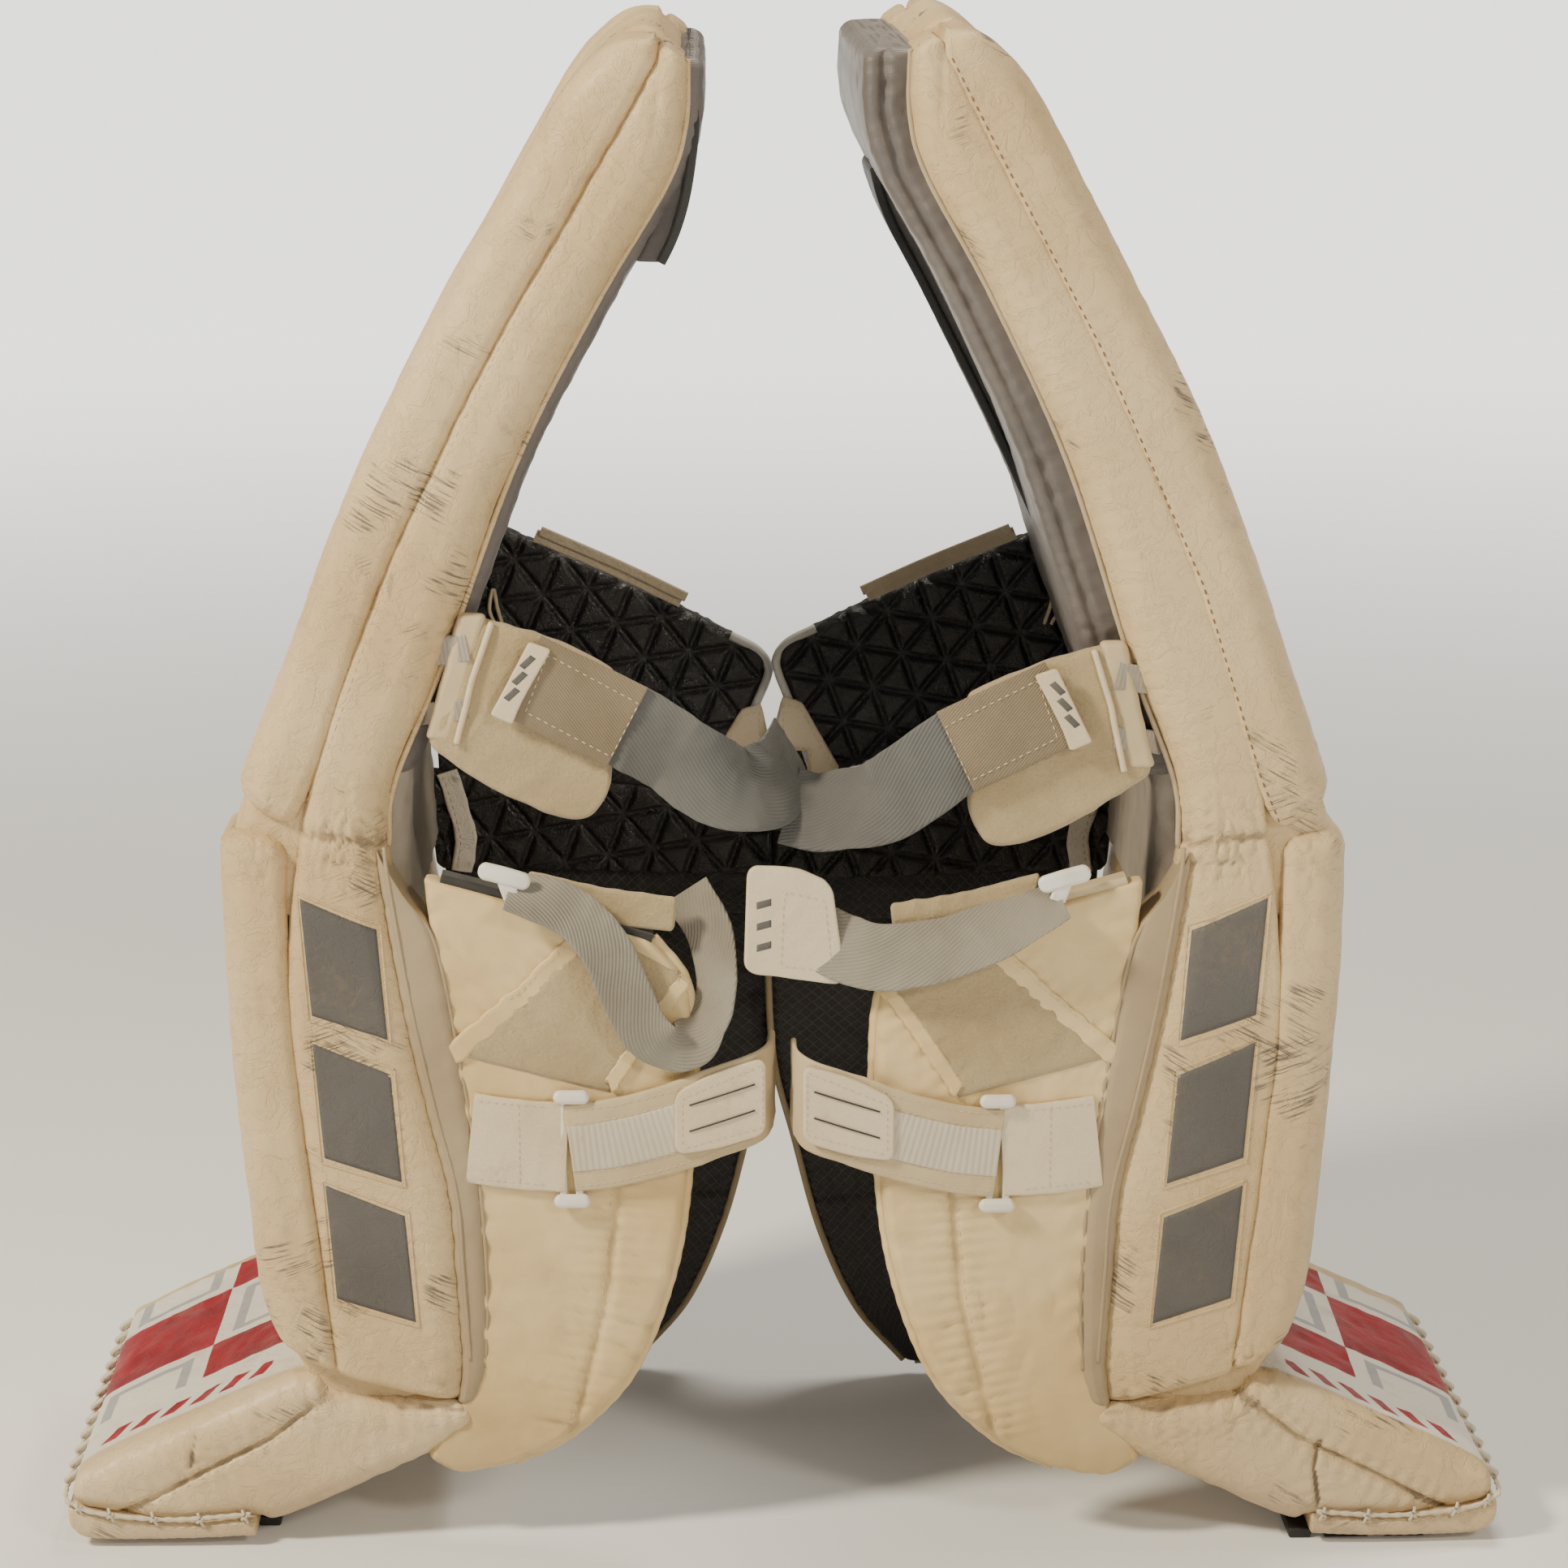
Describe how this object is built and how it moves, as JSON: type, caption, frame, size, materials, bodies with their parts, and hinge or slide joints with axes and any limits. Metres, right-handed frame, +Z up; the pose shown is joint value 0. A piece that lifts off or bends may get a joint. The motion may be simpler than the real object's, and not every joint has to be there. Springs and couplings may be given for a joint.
{
  "type": "goalie leg pads",
  "caption": "Pair of ice hockey goalie leg pads standing back to back: curved padded face, side rolls, boots, knee wings, calf flaps and straps.",
  "frame": {"origin": "middle of the pair's footprint, on the floor", "axes": "+Z up along the pads, +Y across their width away from the strap side, +X towards the face of the right pad"},
  "size_m": [0.8194, 0.3064, 0.848],
  "materials": {
    "white_leather": "worn fine-grain synthetic leather",
    "boot_leather": "glossier white synthetic leather with red and grey panels",
    "cream_nylon": "padded woven nylon",
    "grey_lining": "brushed nylon lining",
    "black_leather": "embossed black synthetic leather",
    "black_ripstop": "diamond ripstop nylon",
    "loop_fleece": "brushed loop fleece",
    "grey_elastic": "woven elastic webbing",
    "strap_webbing": "bound webbing with a ribbed centre",
    "tab_leather": "smooth white synthetic leather",
    "white_plastic": "moulded nylon plastic",
    "black_plastic": "moulded wear-resistant plastic",
    "white_lace": "waxed cord"
  },
  "bodies": {
    "right_shin": {"right_shin_core": "white_leather", "right_shin_roll": "white_leather", "right_shin_side_outer": "white_leather", "right_shin_side_inner": "white_leather", "right_gusset": "cream_nylon", "right_landing_band": "black_leather"},
    "right_boot": {"right_boot_shell": "boot_leather", "right_toe_cap": "boot_leather", "right_toe_bridge": "black_plastic", "right_toe_lacing": "white_lace"},
    "right_thigh": {"right_thigh_core": "white_leather", "right_thigh_roll": "white_leather", "right_thigh_side_outer": "white_leather", "right_thigh_side_inner": "white_leather", "right_thigh_liner": "grey_lining"},
    "right_wing": {"right_knee_wing": "black_leather", "right_wing_velcro": "loop_fleece", "right_slot_tab": "tab_leather"},
    "right_knee_strap_body": {"right_fleece_wrap": "loop_fleece", "right_knee_elastic": "grey_elastic", "right_pull_tab": "tab_leather"},
    "right_calf_flap_body": {"right_calf_flap": "cream_nylon", "right_loop_patch": "loop_fleece", "right_calf_tab": "tab_leather", "right_strap_hook": "white_plastic", "right_lower_strap": "grey_elastic"},
    "right_calf_strap_body": {"right_calf_ring": "white_plastic", "right_calf_strap": "strap_webbing", "right_calf_strap_end": "tab_leather"},
    "right_inner_flap_body": {"right_inner_flap": "black_ripstop"},
    "left_shin": {"left_shin_core": "white_leather", "left_shin_roll": "white_leather", "left_shin_side_outer": "white_leather", "left_shin_side_inner": "white_leather", "left_gusset": "cream_nylon", "left_landing_band": "black_leather"},
    "left_boot": {"left_boot_shell": "boot_leather", "left_toe_cap": "boot_leather", "left_toe_bridge": "black_plastic", "left_toe_lacing": "white_lace"},
    "left_thigh": {"left_thigh_core": "white_leather", "left_thigh_roll": "white_leather", "left_thigh_side_outer": "white_leather", "left_thigh_side_inner": "white_leather", "left_thigh_liner": "grey_lining"},
    "left_wing": {"left_knee_wing": "black_leather", "left_wing_velcro": "loop_fleece", "left_slot_tab": "tab_leather"},
    "left_knee_strap_body": {"left_fleece_wrap": "loop_fleece", "left_knee_elastic": "grey_elastic", "left_pull_tab": "tab_leather"},
    "left_calf_flap_body": {"left_calf_flap": "cream_nylon", "left_loop_patch": "loop_fleece", "left_calf_tab": "tab_leather", "left_strap_hook": "white_plastic", "left_lower_strap": "grey_elastic"},
    "left_calf_strap_body": {"left_calf_ring": "white_plastic", "left_calf_strap": "strap_webbing", "left_calf_strap_end": "tab_leather"},
    "left_inner_flap_body": {"left_inner_flap": "black_ripstop"}
  },
  "joints": [
    {"name": "right_knee_flex", "type": "hinge", "parent": "right_shin", "child": "right_thigh", "pos_m": [0.21065, 0.00115, 0.404], "axis": [0.0436, -0.999, 0], "range_deg": [-3, 8], "stiffness_Nm_per_rad": 40, "springref_deg": -0.86},
    {"name": "right_boot_flex", "type": "hinge", "parent": "right_shin", "child": "right_boot", "pos_m": [0.2606, 0.00333, 0.101], "axis": [0.0436, -0.999, 0], "range_deg": [0, 12], "stiffness_Nm_per_rad": 60, "springref_deg": -2.86},
    {"name": "right_calf_flap_swing", "type": "hinge", "parent": "right_shin", "child": "right_calf_flap_body", "pos_m": [0.19456, -0.13468, 0.214], "axis": [0, 0, 1], "range_deg": [0, 60]},
    {"name": "right_calf_strap_swing", "type": "hinge", "parent": "right_calf_flap_body", "child": "right_calf_strap_body", "pos_m": [0.13081, -0.14187, 0.235], "axis": [0, 0, 1], "range_deg": [0, 60]},
    {"name": "right_inner_flap_swing", "type": "hinge", "parent": "right_shin", "child": "right_inner_flap_body", "pos_m": [0.1919, 0.13246, 0.18], "axis": [0, 0, -1], "range_deg": [0, 45]},
    {"name": "right_wing_swing", "type": "hinge", "parent": "right_thigh", "child": "right_wing", "pos_m": [0.19985, 0.13381, 0.455], "axis": [0.2879, 0.0126, -0.9576], "range_deg": [0, 40]},
    {"name": "right_knee_strap_swing", "type": "hinge", "parent": "right_thigh", "child": "right_knee_strap_body", "pos_m": [0.19538, -0.13064, 0.48], "axis": [-0.1699, -0.0074, 0.9854], "range_deg": [0, 50]},
    {"name": "left_knee_flex", "type": "hinge", "parent": "left_shin", "child": "left_thigh", "pos_m": [-0.21372, 0.00285, 0.404], "axis": [-0.0175, 0.9998, 0], "range_deg": [-3, 8], "stiffness_Nm_per_rad": 40, "springref_deg": -0.86},
    {"name": "left_boot_flex", "type": "hinge", "parent": "left_shin", "child": "left_boot", "pos_m": [-0.26371, 0.00198, 0.101], "axis": [-0.0175, 0.9998, 0], "range_deg": [0, 12], "stiffness_Nm_per_rad": 60, "springref_deg": -2.86},
    {"name": "left_calf_flap_swing", "type": "hinge", "parent": "left_shin", "child": "left_calf_flap_body", "pos_m": [-0.18937, -0.13174, 0.214], "axis": [0, 0, -1], "range_deg": [0, 60]},
    {"name": "left_calf_strap_swing", "type": "hinge", "parent": "left_calf_flap_body", "child": "left_calf_strap_body", "pos_m": [-0.1253, -0.13502, 0.235], "axis": [0, 0, -1], "range_deg": [0, 60]},
    {"name": "left_inner_flap_swing", "type": "hinge", "parent": "left_shin", "child": "left_inner_flap_body", "pos_m": [-0.20303, 0.13506, 0.18], "axis": [0, 0, 1], "range_deg": [0, 45]},
    {"name": "left_wing_swing", "type": "hinge", "parent": "left_thigh", "child": "left_wing", "pos_m": [-0.20909, 0.13595, 0.45477], "axis": [0.3247, 0.0057, 0.9458], "range_deg": [0, 40]},
    {"name": "left_knee_strap_swing", "type": "hinge", "parent": "left_thigh", "child": "left_knee_strap_body", "pos_m": [-0.18753, -0.12771, 0.47914], "axis": [-0.2077, -0.0036, -0.9782], "range_deg": [0, 50]},
    {"name": "pad_slide", "type": "slide", "parent": "right_shin", "child": "left_shin", "axis": [-1, 0, 0], "range_m": [0, 0.3]}
  ]
}
